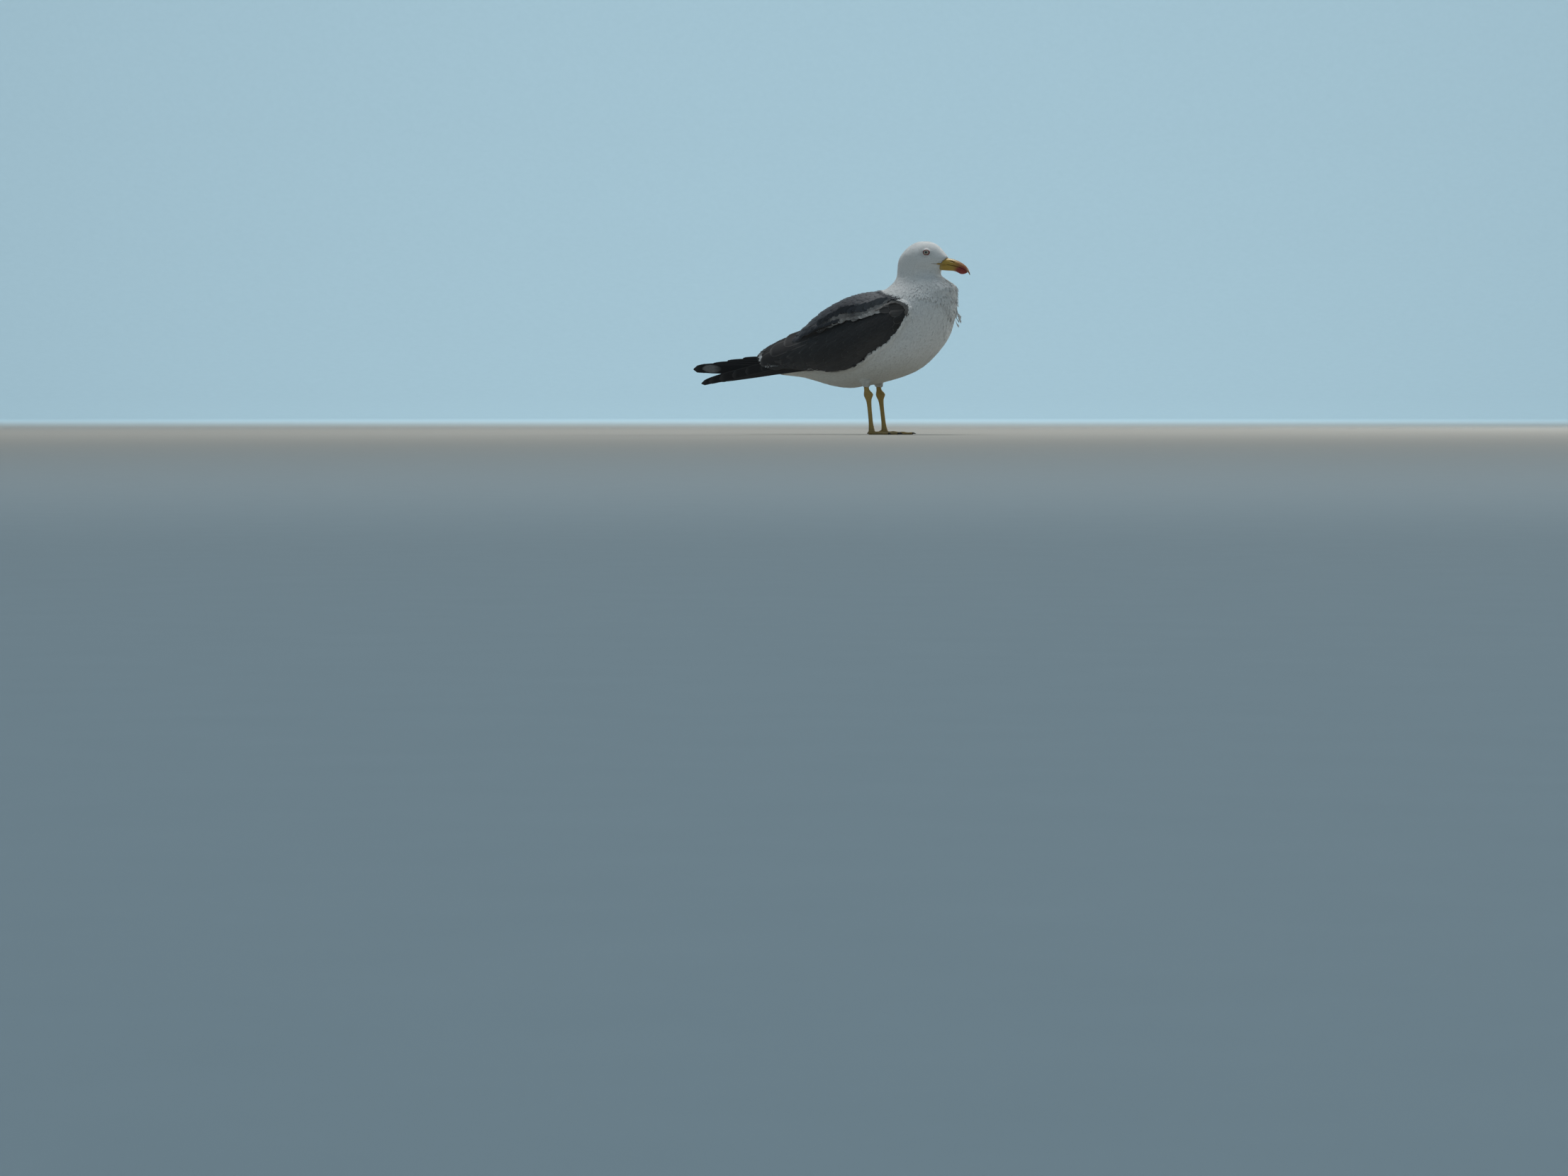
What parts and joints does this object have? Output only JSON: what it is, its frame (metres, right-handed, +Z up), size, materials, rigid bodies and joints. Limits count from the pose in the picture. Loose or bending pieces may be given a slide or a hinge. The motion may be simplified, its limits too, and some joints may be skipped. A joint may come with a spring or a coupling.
{
  "type": "lesser black-backed gull",
  "caption": "Life-size adult lesser black-backed gull standing at rest: white head and body, slate-grey folded wings, black wing tips, yellow bill and webbed feet.",
  "frame": {"origin": "under the middle of the bird's box, on the level of its soles", "axes": "+X towards the bill, +Y to the bird's left, +Z up"},
  "size_m": [0.5132, 0.1262, 0.3179],
  "materials": {
    "white_plumage": "soft white feathers, matte",
    "slate_plumage": "dark slate-grey feathers with a faint sheen",
    "black_plumage": "black flight feathers with a faint sheen",
    "bill_horn": "yellow horn with an orange-red spot near the tip, semi-gloss",
    "leg_skin": "yellow scaled skin, satin",
    "claw_horn": "black horn, semi-gloss",
    "eye": "pale yellow iris with a dark pupil, wet gloss"
  },
  "bodies": {
    "root": {"head": "white_plumage", "neck": "white_plumage", "trunk": "white_plumage", "tail": "white_plumage", "thigh_left": "white_plumage", "thigh_right": "white_plumage", "mantle": "slate_plumage", "wing_left": "slate_plumage", "wing_right": "slate_plumage", "primaries_left": "black_plumage", "primaries_right": "black_plumage", "bill_upper": "bill_horn", "bill_lower": "bill_horn", "eye_left": "eye", "eye_right": "eye", "shank_left": "leg_skin", "shank_right": "leg_skin", "foot_left": "leg_skin", "foot_right": "leg_skin", "hallux_left": "leg_skin", "hallux_right": "leg_skin", "claw_inner_left": "claw_horn", "claw_inner_right": "claw_horn", "claw_middle_left": "claw_horn", "claw_middle_right": "claw_horn", "claw_outer_left": "claw_horn", "claw_outer_right": "claw_horn", "claw_hallux_left": "claw_horn", "claw_hallux_right": "claw_horn"}
  },
  "joints": []
}
